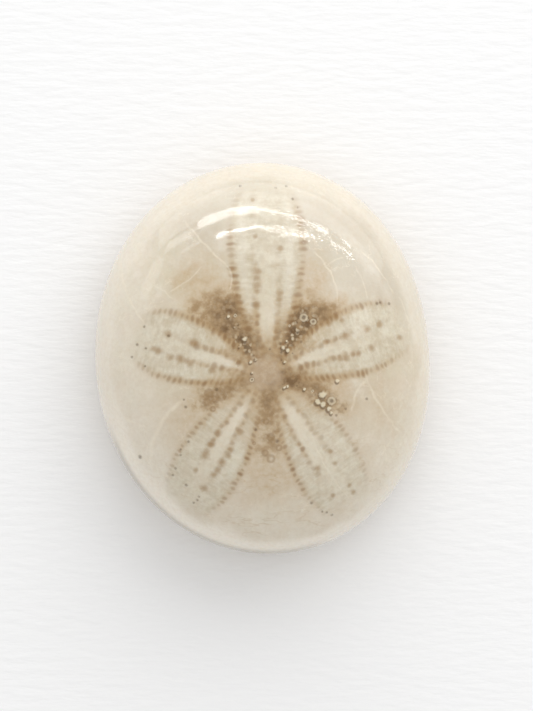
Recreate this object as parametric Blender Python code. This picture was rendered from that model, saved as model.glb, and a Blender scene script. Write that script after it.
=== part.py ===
"""Fossil sea urchin: the polished shell of an irregular echinoid, one solid stone.

Metres, +Z up. The origin is on the surface that the stone rests on, under the middle of its
box. +Y is the front of the animal, where the odd petal points, and -Y is the back.

The stone is a sphere of rings and segments, drawn out to an egg-shaped outline and a domed
profile. Its underside has a flat band that it rests on, a sunken middle with the mouth and
five food grooves, and the small pit of the vent near the back edge.
"""

import math

import bmesh
import bpy
from mathutils import Vector

MM = 0.001

NAME = "fossil_urchin"

# The outline from above: a mean radius with three waves round it, as (size, azimuth of a crest).
MEAN_RADIUS = 20.81 * MM
OVAL_WAVE = (1.66 * MM, math.radians(95.2))
TREFOIL_WAVE = (0.10 * MM, math.radians(68.5))
EGG_WAVE = (0.06 * MM, math.radians(98.4))

# The dome. A fullness of 2 is an ellipse, and more gives fuller shoulders. The back is the fuller.
HEIGHT = 17.5 * MM
WIDEST_HEIGHT = 6.2 * MM
APEX = Vector((0.4 * MM, -2.1 * MM))
DOME_FULLNESS = 2.6
BACK_FULLNESS = 0.4
MARGIN_FULLNESS = 2.1

# The underside. A reach is a fraction of the way from the middle to the outline.
BAND_OUTER_REACH = 0.76
BAND_INNER_REACH = 0.62
MOUTH_CENTRE = Vector((0.0, 0.6 * MM))
MOUTH_REACH = 0.125
HOLLOW_DEPTH = 1.4 * MM
MOUTH_DEPTH = 2.4 * MM

GROOVE_HALF_WIDTH = 0.7 * MM
GROOVE_DEPTH = 0.35 * MM
GROOVE_END_REACH = 0.58

VENT_CENTRE = Vector((0.0, -19.0 * MM))
VENT_HALF_SIZE = Vector((1.5 * MM, 1.15 * MM))
VENT_DEPTH = 0.8 * MM
VENT_FLOOR = 0.35
VENT_DIRECTION = Vector((0.0, 0.45, 0.9))

# The five petals: azimuth, length from the apex, half-width to the outer pores and to the inner
# pores. The band between the two rows of pores is sunk, by a share of its own width.
PETALS = (
    (math.radians(90.8), 21.8 * MM, 4.2 * MM, 1.4 * MM),
    (math.radians(163.0), 15.3 * MM, 3.6 * MM, 1.1 * MM),
    (math.radians(237.6), 17.2 * MM, 3.6 * MM, 1.05 * MM),
    (math.radians(302.5), 17.1 * MM, 3.6 * MM, 1.25 * MM),
    (math.radians(18.9), 16.6 * MM, 3.8 * MM, 1.1 * MM),
)
PETAL_WIDEST_AT = 0.68
PORE_BAND_SINK = 0.08

# Rings from pole to pole: the dome, the rounded margin, the flat band, the hollow, the mouth.
SEGMENTS = 112
DOME_RINGS = 18
MARGIN_RINGS = 9
BAND_RINGS = 2
HOLLOW_RINGS = 6
MOUTH_RINGS = 4
ALL_RINGS = DOME_RINGS + MARGIN_RINGS + BAND_RINGS + HOLLOW_RINGS + MOUTH_RINGS

# The segments crowd towards the back, where the vent is, and the faces round it are cut finer.
BACK_CROWDING = 0.28
VENT_CUTS = 2
VENT_CUT_MARGIN = 1.35

# A point this near a ring, in rings, is on it.
RING_ROUNDING = 0.01

SHARP_EDGE = math.radians(40)

STONE_COLOUR = (0.66, 0.56, 0.42, 1.0)
STONE_ROUGHNESS = 0.15


def clear_scene():
    for obj in list(bpy.data.objects):
        bpy.data.objects.remove(obj, do_unlink=True)


def smooth_step(value):
    value = min(max(value, 0.0), 1.0)
    return value * value * (3.0 - 2.0 * value)


def bump(value):
    """1 at zero, falling smoothly to 0 at -1 and 1."""
    return smooth_step(1.0 - abs(value))


def outline_radius(azimuth):
    """The distance from the middle to the outline."""
    radius = MEAN_RADIUS
    for lobes, (size, crest) in enumerate((EGG_WAVE, OVAL_WAVE, TREFOIL_WAVE), start=1):
        radius += size * math.cos(lobes * (azimuth - crest))
    return radius


def dome_profile(turn, azimuth):
    """Reach and height on the dome, from the apex at turn 0 to the widest ring at turn 1."""
    angle = turn * math.pi / 2
    fullness = DOME_FULLNESS - BACK_FULLNESS * math.sin(azimuth)
    rise = max(math.cos(angle), 0.0) ** (2 / fullness)
    return math.sin(angle), WIDEST_HEIGHT + (HEIGHT - WIDEST_HEIGHT) * rise


def margin_profile(turn, _azimuth):
    """Reach and height round the margin, from the widest ring to the flat band."""
    angle = turn * math.pi / 2
    drop = math.sin(angle) ** (2 / MARGIN_FULLNESS)
    inset = (1.0 - BAND_OUTER_REACH) * (1.0 - math.cos(angle))
    return 1.0 - inset, WIDEST_HEIGHT * (1.0 - drop)


def band_profile(turn, _azimuth):
    """Reach and height across the flat band, which the stone rests on."""
    return BAND_OUTER_REACH + (BAND_INNER_REACH - BAND_OUTER_REACH) * turn, 0.0


def hollow_profile(turn, _azimuth):
    """Reach and height from the flat band in to the rim of the mouth."""
    reach = BAND_INNER_REACH + (MOUTH_REACH - BAND_INNER_REACH) * turn
    return reach, HOLLOW_DEPTH * smooth_step(turn)


def mouth_profile(turn, _azimuth):
    """Reach and height in the round pit of the mouth, from its rim to the middle of its floor."""
    angle = turn * math.pi / 2
    return MOUTH_REACH * math.cos(angle), HOLLOW_DEPTH + MOUTH_DEPTH * math.sin(angle)


PROFILE = (
    (DOME_RINGS, dome_profile),
    (MARGIN_RINGS, margin_profile),
    (BAND_RINGS, band_profile),
    (HOLLOW_RINGS, hollow_profile),
    (MOUTH_RINGS, mouth_profile),
)


def reach_and_height(ring, azimuth):
    """The profile's point for a ring, counted from the apex down and in under the stone."""
    for rings, profile in PROFILE:
        if ring <= rings:
            return profile(ring / rings, azimuth)
        ring -= rings
    return profile(1.0, azimuth)


def petal_half_width(petal_width, length, along):
    """The half-width of a petal at a distance from the apex: a lens, cut off a little at its tip."""
    at = along / length
    if at < PETAL_WIDEST_AT:
        return petal_width * math.sin(at / PETAL_WIDEST_AT * math.pi / 2) ** 0.8
    past = (at - PETAL_WIDEST_AT) / (1.0 - PETAL_WIDEST_AT)
    return petal_width * (1.0 - 0.3 * past * past)


def pore_band_depth(place):
    """How far the pore bands of the petals are sunk at a place on the dome."""
    from_apex = place - APEX
    depth = 0.0
    for azimuth, length, outer, inner in PETALS:
        axis = Vector((math.cos(azimuth), math.sin(azimuth)))
        along = from_apex.dot(axis)
        if not 0.0 < along < length:
            continue
        across = abs(from_apex.x * axis.y - from_apex.y * axis.x)
        edge = petal_half_width(outer, length, along)
        core = petal_half_width(inner, length, along)
        middle = (edge + core) / 2
        fade = smooth_step(8.0 * (1.0 - along / length))
        depth += PORE_BAND_SINK * (edge - core) * fade * bump((across - middle) / (edge - core))
    return depth


def groove_lift(place, reach):
    """How far the five food grooves rise into the underside at a place in its hollow."""
    from_mouth = place - MOUTH_CENTRE
    lift = 0.0
    for azimuth, *_ in PETALS:
        axis = Vector((math.cos(azimuth), math.sin(azimuth)))
        across = from_mouth.x * axis.y - from_mouth.y * axis.x
        if from_mouth.dot(axis) > 0.0:
            lift += GROOVE_DEPTH * bump(across / GROOVE_HALF_WIDTH)
    fade = smooth_step((GROOVE_END_REACH - reach) / 0.1) * smooth_step((reach - MOUTH_REACH) / 0.05)
    return lift * fade


def vent_distance(place):
    """The distance from the vent's middle, where 1 is its rim."""
    offset = place - VENT_CENTRE
    return math.hypot(offset.x / VENT_HALF_SIZE.x, offset.y / VENT_HALF_SIZE.y)


def vent_pit(place):
    """How far the surface is pushed in at the vent: a sloping wall round a small flat floor."""
    return VENT_DEPTH * smooth_step((1.0 - vent_distance(place)) / (1.0 - VENT_FLOOR))


def stone_point(azimuth, ring):
    """The point of the stone's surface at an azimuth on a ring, which may lie between two rings."""
    reach, height = reach_and_height(ring, azimuth)
    on_dome = ring <= DOME_RINGS
    middle = (APEX if on_dome else MOUTH_CENTRE) * (1.0 - reach)
    direction = Vector((math.cos(azimuth), math.sin(azimuth)))
    place = middle + direction * outline_radius(azimuth) * reach
    if on_dome:
        height -= pore_band_depth(place)
        return Vector((place.x, place.y, height))
    height += groove_lift(place, reach)
    return Vector((place.x, place.y, height)) + VENT_DIRECTION * vent_pit(place)


def on_stone(direction):
    """The point of the stone that a direction from the middle of the starting sphere stands for."""
    direction = direction.normalized()
    ring = math.acos(min(max(direction.z, -1.0), 1.0)) / math.pi * ALL_RINGS
    if abs(ring - round(ring)) < RING_ROUNDING:
        ring = round(ring)
    turn = math.atan2(direction.y, direction.x)
    return stone_point(turn - BACK_CROWDING * math.cos(turn), ring)


def near_vent(face):
    """Whether a face of the starting sphere comes to lie in the vent or close round it."""
    place = on_stone(face.calc_center_median())
    return place.z < WIDEST_HEIGHT and vent_distance(place.xy) < VENT_CUT_MARGIN


def make_stone_mesh():
    """A sphere whose points are moved onto the stone's surface, centred over the origin."""
    shape = bmesh.new()
    bmesh.ops.create_uvsphere(shape, u_segments=SEGMENTS, v_segments=ALL_RINGS, radius=1.0)
    vent_edges = {edge for face in shape.faces if near_vent(face) for edge in face.edges}
    bmesh.ops.subdivide_edges(shape, edges=list(vent_edges), cuts=VENT_CUTS, use_grid_fill=True)
    for vert in shape.verts:
        vert.co = on_stone(vert.co)
    middle_x = (min(v.co.x for v in shape.verts) + max(v.co.x for v in shape.verts)) / 2
    middle_y = (min(v.co.y for v in shape.verts) + max(v.co.y for v in shape.verts)) / 2
    bmesh.ops.translate(shape, verts=shape.verts, vec=(-middle_x, -middle_y, 0.0))
    bmesh.ops.triangulate(shape, faces=shape.faces)
    mesh = bpy.data.meshes.new(NAME)
    shape.to_mesh(mesh)
    shape.free()
    mesh.shade_smooth()
    mesh.set_sharp_from_angle(angle=SHARP_EDGE)
    return mesh


def make_stone_material():
    material = bpy.data.materials.new("polished_calcite")
    material.use_nodes = True
    shader = material.node_tree.nodes["Principled BSDF"]
    shader.inputs["Base Color"].default_value = STONE_COLOUR
    shader.inputs["Roughness"].default_value = STONE_ROUGHNESS
    shader.inputs["Metallic"].default_value = 0.0
    return material


def main():
    clear_scene()
    parts = bpy.data.collections.new("fossil_sea_urchin")
    bpy.context.scene.collection.children.link(parts)
    stone = bpy.data.objects.new(NAME, make_stone_mesh())
    stone.data.materials.append(make_stone_material())
    parts.objects.link(stone)


main()
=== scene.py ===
"""Looks of the fossil sea urchin: a polished stone of cloudy cream calcite, lying on white paper.

One piece, `urchin_stone`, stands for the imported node. Geometry Nodes draw a fine cube out to the
stone's form, sink the pores of the five petals into it and write where each point lies in its
petal. The tubercles are then set in by distance, and one procedural material colours it all.

Metres, +Z up, +Y the front of the animal. The patterns are measured in millimetres.
"""

import enum
import logging
import math
from dataclasses import dataclass, replace
from typing import Callable, Sequence

import bpy
import numpy as np
from bpy.types import ID, Material, Mesh, Node, NodeSocket, NodeTree, Object
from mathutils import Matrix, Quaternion, Vector


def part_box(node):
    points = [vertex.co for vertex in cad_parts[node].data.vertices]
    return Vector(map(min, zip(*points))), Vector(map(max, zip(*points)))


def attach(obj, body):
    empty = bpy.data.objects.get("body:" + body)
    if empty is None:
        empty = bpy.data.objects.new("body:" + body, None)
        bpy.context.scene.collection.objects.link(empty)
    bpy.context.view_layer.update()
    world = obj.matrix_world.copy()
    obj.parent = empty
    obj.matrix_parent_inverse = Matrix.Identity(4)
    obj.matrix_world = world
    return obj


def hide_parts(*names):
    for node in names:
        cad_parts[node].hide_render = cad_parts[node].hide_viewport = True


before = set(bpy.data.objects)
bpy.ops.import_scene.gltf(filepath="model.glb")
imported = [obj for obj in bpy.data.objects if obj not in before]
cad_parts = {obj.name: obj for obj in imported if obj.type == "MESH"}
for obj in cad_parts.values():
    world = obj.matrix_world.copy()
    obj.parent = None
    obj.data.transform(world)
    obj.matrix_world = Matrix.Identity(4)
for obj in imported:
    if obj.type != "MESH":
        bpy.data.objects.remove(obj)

LOG = logging.getLogger("fossil_urchin")
MM = 0.001
QUARTER = math.pi / 2
CAD_NODE = "fossil_urchin"
BODY = "root"
DROP_SHADE = "mark_drop_shade"

Colour = tuple[float, float, float]
Place = tuple[float, float]


def paint(*channels: int) -> Colour:
    """Turns a paint-chart colour, 0 to 255 a channel, into the linear one that a shader takes."""
    shares = [channel / 255 for channel in channels]
    return tuple(share / 12.92 if share <= 0.04045 else ((share + 0.055) / 1.055) ** 2.4 for share in shares)


def heading(azimuth: float) -> Place:
    """The unit vector in a direction given in degrees from +X."""
    return math.cos(math.radians(azimuth)), math.sin(math.radians(azimuth))


# Node trees written as arithmetic


def arithmetic(operation: str, swapped: bool = False) -> Callable[..., "Field"]:
    """Makes a method of Field that adds one Math node.

    Args:
        operation: the node's operation.
        swapped: whether the Field comes after the other value.

    Returns:
        The method.
    """

    def method(field: "Field", *others: "Operand") -> "Field":
        """Adds the node and returns its result."""
        return field.graph.math(operation, *((*others, field) if swapped else (field, *others)))

    return method


class Field:
    """A number in a node tree. Arithmetic on it adds Math nodes."""

    def __init__(self, graph: "Graph", socket: NodeSocket) -> None:
        """Holds an output socket of the graph."""
        self.graph = graph
        self.socket = socket

    __add__ = __radd__ = arithmetic("ADD")
    __mul__ = __rmul__ = arithmetic("MULTIPLY")
    __sub__, __rsub__ = arithmetic("SUBTRACT"), arithmetic("SUBTRACT", swapped=True)
    __truediv__, __rtruediv__ = arithmetic("DIVIDE"), arithmetic("DIVIDE", swapped=True)
    __pow__, __abs__ = arithmetic("POWER"), arithmetic("ABSOLUTE")
    sin, cos, root, floor = (arithmetic(name) for name in ("SINE", "COSINE", "SQRT", "FLOOR"))
    least, most, above = (arithmetic(name) for name in ("MINIMUM", "MAXIMUM", "GREATER_THAN"))
    arc_tangent, arc_cosine, flattened = (arithmetic(name) for name in ("ARCTAN2", "ARCCOSINE", "TANH"))

    def ramp(self, low: "Operand" = 0, high: "Operand" = 1, smooth: bool = True) -> "Field":
        """Runs from 0 to 1 as this value runs from low to high, and stays at 0 and 1 beyond.

        Args:
            low, high: the values at which the ramp is 0 and 1.
            smooth: whether it eases in and out.

        Returns:
            The ramp.
        """
        inputs = {"Value": self, "From Min": low, "From Max": high}
        kind = "SMOOTHSTEP" if smooth else "LINEAR"
        node = self.graph.node("ShaderNodeMapRange", inputs, interpolation_type=kind)
        return Field(self.graph, node.outputs["Result"])


Operand = Field | float


def length(x: Field, y: Field) -> Field:
    """The length of the line from the origin to X, Y."""
    return (x * x + y * y).root()


class Graph:
    """Adds nodes to a tree, a Geometry Nodes one or a shader's, and links them."""

    def __init__(self, tree: NodeTree) -> None:
        """Takes over a tree."""
        self.tree = tree
        self.settings: dict[str, float] = {}
        self.source: Node | None = None

    def feed(self, socket: NodeSocket, value: object) -> None:
        """Links a value into an input, or sets the input to it.

        Args:
            socket: the input.
            value: a Field, a socket or a plain value.
        """
        value = value.socket if isinstance(value, Field) else value
        if isinstance(value, NodeSocket):
            self.tree.links.new(value, socket)
        else:
            socket.default_value = value

    def node(self, kind: str, inputs: dict | None = None, **settings: object) -> Node:
        """Adds a node.

        Args:
            kind: the node's type name.
            inputs: values or links for its inputs, by name or by number.
            settings: its own settings, such as an operation.

        Returns:
            The node.
        """
        node = self.tree.nodes.new(kind)
        for name, value in settings.items():
            setattr(node, name, value)
        for name, value in (inputs or {}).items():
            self.feed(node.inputs[name], value)
        return node

    def math(self, operation: str, *operands: Operand) -> Field:
        """Adds a Math node and returns its result."""
        inputs = dict(enumerate(operands))
        return Field(self, self.node("ShaderNodeMath", inputs, operation=operation).outputs[0])

    def size(self, name: str, value: float) -> Field:
        """Names one of the tree's own inputs, and keeps the value that a modifier sets it to.

        Args:
            name: the input's name.
            value: its value.

        Returns:
            The input as a Field.
        """
        if name not in self.settings:
            self.tree.interface.new_socket(name, in_out="INPUT", socket_type="NodeSocketFloat")
            self.settings[name] = value
        return self.given(name)

    def given(self, name: str) -> Field:
        """One of the tree's own inputs."""
        self.source = self.source or self.tree.nodes.new("NodeGroupInput")
        return Field(self, self.source.outputs[name])

    def here(self) -> NodeSocket:
        """The place of a point of the mesh."""
        return self.node("GeometryNodeInputPosition").outputs[0]

    def vector(self, x: Operand, y: Operand, z: Operand = 0) -> NodeSocket:
        """Joins three values into a vector."""
        return self.node("ShaderNodeCombineXYZ", {0: x, 1: y, 2: z}).outputs[0]

    def parts(self, vector: NodeSocket) -> list[Field]:
        """Splits a vector into its three values."""
        return [Field(self, part) for part in self.node("ShaderNodeSeparateXYZ", {0: vector}).outputs]

    def vector_math(self, operation: str, *operands: object) -> NodeSocket:
        """Adds a Vector Math node and returns its vector."""
        inputs = dict(enumerate(operands))
        return self.node("ShaderNodeVectorMath", inputs, operation=operation).outputs[0]

    def noise(self, vector: NodeSocket, scale: float, detail: float = 2, rough: float = 0.5) -> Field:
        """Adds a Noise texture and returns its value, which lies mostly between 0.3 and 0.7."""
        inputs = {"Vector": vector, "Scale": scale, "Detail": detail, "Roughness": rough}
        return Field(self, self.node("ShaderNodeTexNoise", inputs).outputs[0])

    def chance(self, x: Operand, y: Operand) -> list[Field]:
        """Draws three values from 0 to 1 for a cell, which are the same each time.

        Args:
            x, y: whole numbers that stand for the cell.

        Returns:
            The three values.
        """
        inputs = {"Vector": self.vector(x, y)}
        node = self.node("ShaderNodeTexWhiteNoise", inputs, noise_dimensions="3D")
        return self.parts(node.outputs["Color"])


def mask_group(name: str, sizes: Sequence[str], draw: Callable[..., Field]) -> NodeTree:
    """Builds a shader node group that puts out one mask.

    Args:
        name: the group's name.
        sizes: the names of its number inputs, which follow the place.
        draw: takes X, Y and the sizes and returns the mask.

    Returns:
        The group's tree.
    """
    tree = bpy.data.node_groups.new(name, "ShaderNodeTree")
    tree.interface.new_socket("Place", in_out="INPUT", socket_type="NodeSocketVector")
    for size in sizes:
        tree.interface.new_socket(size, in_out="INPUT", socket_type="NodeSocketFloat")
    tree.interface.new_socket("Mask", in_out="OUTPUT", socket_type="NodeSocketFloat")
    graph = Graph(tree)
    x, y, _ = graph.parts(graph.given("Place").socket)
    graph.node("NodeGroupOutput", {"Mask": draw(x, y, *(graph.given(size) for size in sizes))})
    return tree


def new_material(name: str) -> tuple[Material, Graph, Node]:
    """Starts a material.

    Args:
        name: its name.

    Returns:
        The material, its graph and its shader.
    """
    material = bpy.data.materials.new(name)
    material.use_nodes = True
    return material, Graph(material.node_tree), material.node_tree.nodes["Principled BSDF"]


def add_object(name: str, data: ID) -> Object:
    """Puts a new object in the scene.

    Args:
        name: its name.
        data: the mesh, the lamp or the camera.

    Returns:
        The object.
    """
    made = bpy.data.objects.new(name, data)
    bpy.context.scene.collection.objects.link(made)
    return made


# The stone's form. Lengths are in mm.


@dataclass(frozen=True)
class Petal:
    """One of the five petals, seen from above.

    Args:
        azimuth: the direction of its middle line, in degrees from +X.
        root: where that line starts.
        length: from the root to the open tip.
        outer, inner: the greatest half-width, to the outer and to the inner pores.
        pitch: from one pore to the next.
        outer_strength, inner_strength: how dark the pores are, on its left and on its right side.
        lean: how far the outer rows lie over to its left near the root.
    """

    azimuth: float
    root: Place
    length: float
    outer: float
    inner: float
    pitch: float
    outer_strength: Place
    inner_strength: Place
    lean: float = 0.0


PETALS = (
    Petal(90.8, (0.5, -2.1), 21.9, 4.05, 1.4, 0.76, (0.95, 1.0), (0.95, 0.6), -0.12),
    Petal(163, (0.1, -1.7), 15.3, 3.6, 1.1, 0.67, (0.9, 1.0), (0.85, 0.9)),
    Petal(239.1, (-0.18, -1.96), 17.2, 3.6, 1.05, 0.66, (1.15, 0.85), (0.7, 0.75)),
    Petal(302.5, (0.7, -2.2), 17.1, 3.7, 1.25, 0.66, (0.55, 1.1), (0.5, 0.9), 0.4),
    Petal(19.7, (0.4, -1.6), 16.7, 3.6, 1.1, 0.63, (1.0, 0.9), (0.7, 0.85)),
)

WIDEST_AT = 0.71
TIP_NARROWING = 0.37
INNER_OPENING = 5.75
INNER_START = 0.3
LOWEST_SCORE = -1.0e6
# How much longer the way over a low dome is, for each square of its drop.
ARC_RISE = 4 / 3
# The colours draw the pores at one even pitch, and the inner ones wider apart.
PORE_PITCH = 0.68
INNER_SPACING = 0.8
# How much of the cube's half turn each stretch of the profile takes, from the apex to the mouth.
STRETCHES = {
    "dome": (0.0, 0.68),
    "margin": (0.68, 0.82),
    "band": (0.82, 0.85),
    "hollow": (0.85, 0.96),
    "mouth": (0.96, 1.0),
}


@dataclass(frozen=True)
class StoneForm:
    """The form of the stone, a closed surface from its apex to its mouth."""

    mean_radius: float = 20.81
    waves: tuple[tuple[int, float, float], ...] = ((1, 0.06, 98.4), (2, 1.66, 95.2), (3, 0.10, 68.5))
    height: float = 17.5
    widest_height: float = 6.2
    apex: Place = (0.4, -2.1)
    dome_fullness: float = 2.6
    back_fullness: float = 0.4
    margin_fullness: float = 2.1
    band_outer: float = 0.76
    band_inner: float = 0.62
    mouth_centre: Place = (0.0, 0.6)
    mouth_reach: float = 0.125
    hollow_depth: float = 1.4
    mouth_depth: float = 2.4
    groove_half_width: float = 0.7
    groove_depth: float = 0.35
    groove_end: float = 0.58
    vent_centre: Place = (0.0, -19.0)
    vent_half_size: Place = (1.5, 1.15)
    vent_depth: float = 0.8
    vent_floor: float = 0.35
    vent_push: Place = (0.45, 0.9)
    pore_band_sink: float = 0.003
    pore_depth: float = 0.004
    grain_height: float = 0.05
    grain_size: float = 0.85
    cells: int = 126


class MapName(str, enum.Enum):
    """The UV maps that the stone carries for its material, each a pair of values."""

    OUTER_ROW = "outer_row"
    INNER_ROW = "inner_row"
    PETAL_PLACE = "petal_place"
    ROW_STRENGTH = "row_strength"


@dataclass
class Row:
    """Where a point lies by one of its petal's rows of pores.

    Args:
        phase: the way along the row, counted in pores.
        distance: how far outside the row.
        strength: how dark the row is there.
        pitch: from one pore to the next.
    """

    phase: Field
    distance: Field
    strength: Field
    pitch: Operand


@dataclass
class PetalPlace:
    """Where a point lies in its petal.

    Args:
        share: the way along the petal, 0 at its root and 1 at its tip.
        seed: a whole number for the petal and its side.
        outer, inner: the place by the two rows on that side.
    """

    share: Field
    seed: Field
    outer: Row
    inner: Row


@dataclass(frozen=True)
class Pore:
    """The size of a row's pores, and how far they stray.

    Args:
        half_long: half the size across the row.
        half_wide: half the size along the row.
        stray: how far a pore lies off its place, at most.
    """

    half_long: float
    half_wide: float
    stray: float

    def mask(self, row: Row, seed: Operand) -> Field:
        """Draws one row of pores.

        Args:
            row: where a point lies by the row.
            seed: a whole number that sets the row's random values.

        Returns:
            1 in the middle of a pore, falling to 0 at its edge; some pores are weaker.
        """
        cell = row.phase.floor()
        shift_along, shift_across, strength = cell.graph.chance(cell, seed)
        along = (row.phase - cell - 0.5) * row.pitch + (shift_along - 0.5) * (2 * self.stray)
        across = row.distance + (shift_across - 0.5) * (2 * self.stray)
        reach = ((along / self.half_wide) ** 2 + (across / self.half_long) ** 2).root()
        reach = reach / (strength * 0.5 + 0.72)
        return (1 - reach.ramp(0.30, 1.35)) * (strength * 0.55 + 0.45)


OUTER_PORE = Pore(0.46, 0.22, 0.11)
INNER_PORE = Pore(0.36, 0.32, 0.14)
INNER_SEED = 20


class StoneTree:
    """The Geometry Nodes tree that draws the stone from a cube."""

    def __init__(self, form: StoneForm, petals: Sequence[Petal]) -> None:
        """Opens an empty tree.

        Args:
            form: the stone's sizes.
            petals: the five petals, in the order of their azimuths round the stone.
        """
        self.form = form
        self.petals = petals
        self.tree = bpy.data.node_groups.new("stone_form", "GeometryNodeTree")
        self.tree.is_modifier = True
        for direction in ("INPUT", "OUTPUT"):
            self.tree.interface.new_socket("Geometry", in_out=direction, socket_type="NodeSocketGeometry")
        self.graph = Graph(self.tree)

    def size(self, name: str) -> Field:
        """One of the form's sizes, as a named input of the tree."""
        return self.graph.size(name.replace("_", " ").capitalize(), getattr(self.form, name))

    def stretch(self, polar: Field, name: str) -> Field:
        """Runs from 0 to a quarter turn as the profile passes one of its stretches."""
        return polar.ramp(*STRETCHES[name], smooth=False) * QUARTER

    def outline(self, azimuth: Field) -> Field:
        """The distance from the middle to the outline.

        Args:
            azimuth: the direction from the middle, in radians.

        Returns:
            The distance, in mm.
        """
        radius = self.size("mean_radius")
        for lobes, size, crest in self.form.waves:
            height = self.graph.size(f"Wave {lobes}", size)
            radius = radius + height * ((azimuth - math.radians(crest)) * lobes).cos()
        return radius

    def grooves(self, x: Field, y: Field, reach: Field) -> Field:
        """How far the five food grooves rise into the underside.

        Args:
            x, y: the place, in mm.
            reach: the way out to the outline, 0 to 1.

        Returns:
            The rise, in mm.
        """
        form, half_width = self.form, self.size("groove_half_width")
        lift: Operand = 0.0
        from_x, from_y = x - form.mouth_centre[0], y - form.mouth_centre[1]
        for petal in self.petals:
            cos, sin = heading(petal.azimuth)
            along = from_x * cos + from_y * sin
            across = abs(from_x * sin - from_y * cos)
            lift = (1 - across / half_width).ramp() * along.above(0) + lift
        fade = reach.ramp(form.groove_end, form.groove_end - 0.1)
        fade = fade * reach.ramp(form.mouth_reach, form.mouth_reach + 0.05)
        return lift * fade * self.size("groove_depth")

    def vent(self, x: Field, y: Field, below: Field) -> Field:
        """How far the surface is pushed in at the vent.

        Args:
            x, y: the place, in mm.
            below: 1 on the underside.

        Returns:
            The depth, in mm.
        """
        (centre_x, centre_y), (half_x, half_y) = self.form.vent_centre, self.form.vent_half_size
        distance = length((x - centre_x) / half_x, (y - centre_y) / half_y)
        pit = ((1 - distance) / (1 - self.form.vent_floor)).ramp()
        return pit * below * self.size("vent_depth")

    def surface(self) -> tuple[NodeSocket, dict[str, Field]]:
        """Finds where a point of the cube comes to lie on the stone.

        Returns:
            The place, in metres, and how deep it is in a groove and in the vent, 0 to 1.
        """
        graph, form, size = self.graph, self.form, self.size
        eighths = graph.vector_math("MULTIPLY", graph.here(), (QUARTER / 2,) * 3)
        x, y, z = graph.parts(graph.vector_math("NORMALIZE", graph.vector_math("TANGENT", eighths)))
        azimuth, polar = y.arc_tangent(x), z.arc_cosine() / math.pi
        dome, margin, band, hollow, mouth = (self.stretch(polar, name) for name in STRETCHES)
        outer, inner, rim = size("band_outer"), size("band_inner"), size("mouth_reach")
        reach = dome.sin() - (1 - outer) * (1 - margin.cos())
        reach = reach - (outer - inner) * (band / QUARTER) - (inner - rim) * (hollow / QUARTER)
        reach = reach - rim * (1 - mouth.cos())
        widest = size("widest_height")
        fullness = size("dome_fullness") - azimuth.sin() * size("back_fullness")
        height = widest + (size("height") - widest) * dome.cos().most(0) ** (2 / fullness)
        height = height - widest * margin.sin() ** (2 / size("margin_fullness"))
        height = height + (hollow / QUARTER).ramp() * size("hollow_depth") + mouth.sin() * size("mouth_depth")
        below = polar.above(STRETCHES["dome"][1])
        middles = zip(form.apex, form.mouth_centre)
        middle_x, middle_y = ((1 - below) * top + below * bottom for top, bottom in middles)
        radius, left = self.outline(azimuth) * reach, 1 - reach
        place_x = middle_x * left + azimuth.cos() * radius
        place_y = middle_y * left + azimuth.sin() * radius
        groove = self.grooves(place_x, place_y, reach) * below
        pit = self.vent(place_x, place_y, below)
        forward, up = form.vent_push
        place = graph.vector(place_x, place_y + pit * forward, height + groove + pit * up)
        depths = {"groove": groove / form.groove_depth, "vent": pit / form.vent_depth}
        return graph.vector_math("MULTIPLY", place, (MM,) * 3), depths

    def choose(self, index: NodeSocket, values: Sequence[float]) -> Field:
        """Picks one of several numbers by a whole number.

        Args:
            index: the whole number.
            values: the numbers to pick from.

        Returns:
            The one that the index names.
        """
        node = self.graph.node("GeometryNodeIndexSwitch", data_type="FLOAT")
        while len(node.index_switch_items) < len(values):
            node.index_switch_items.new()
        self.graph.feed(node.inputs["Index"], index)
        for number, value in enumerate(values):
            node.inputs[str(number)].default_value = value
        return Field(self.graph, node.outputs[0])

    def on_faces(self, value: Field) -> Field:
        """Makes a value the same all over each face."""
        node = self.graph.node("GeometryNodeFieldOnDomain", {0: value}, data_type="FLOAT", domain="FACE")
        return Field(self.graph, node.outputs[0])

    def petal_place(self, whole_faces: bool) -> PetalPlace:
        """Works out where a point lies in its petal.

        Args:
            whole_faces: whether a face lies in one petal, and on one side of it, as a UV map needs.

        Returns:
            The point's place in the petal.
        """
        hold = self.on_faces if whole_faces else (lambda value: value)
        x, y, z = (part / MM for part in self.graph.parts(self.graph.here()))
        apex_x, apex_y = x - self.form.apex[0], y - self.form.apex[1]
        best: Operand = LOWEST_SCORE
        index: Operand = 0.0
        for number, petal in enumerate(self.petals):
            cos, sin = heading(petal.azimuth)
            score = apex_x * cos + apex_y * sin
            index = score.above(best) * (number - index) + index
            best = score.most(best)
        index = hold(index)

        def pick(read: Callable[[Petal], float]) -> Field:
            """Reads a value of the petal that the point is in."""
            return self.choose(index.socket, [read(petal) for petal in self.petals])

        def by_side(read: Callable[[Petal], Place]) -> Field:
            """Reads a value of the side of the petal that the point is on."""
            return left * pick(lambda p: read(p)[0]) + (1 - left) * pick(lambda p: read(p)[1])

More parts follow.
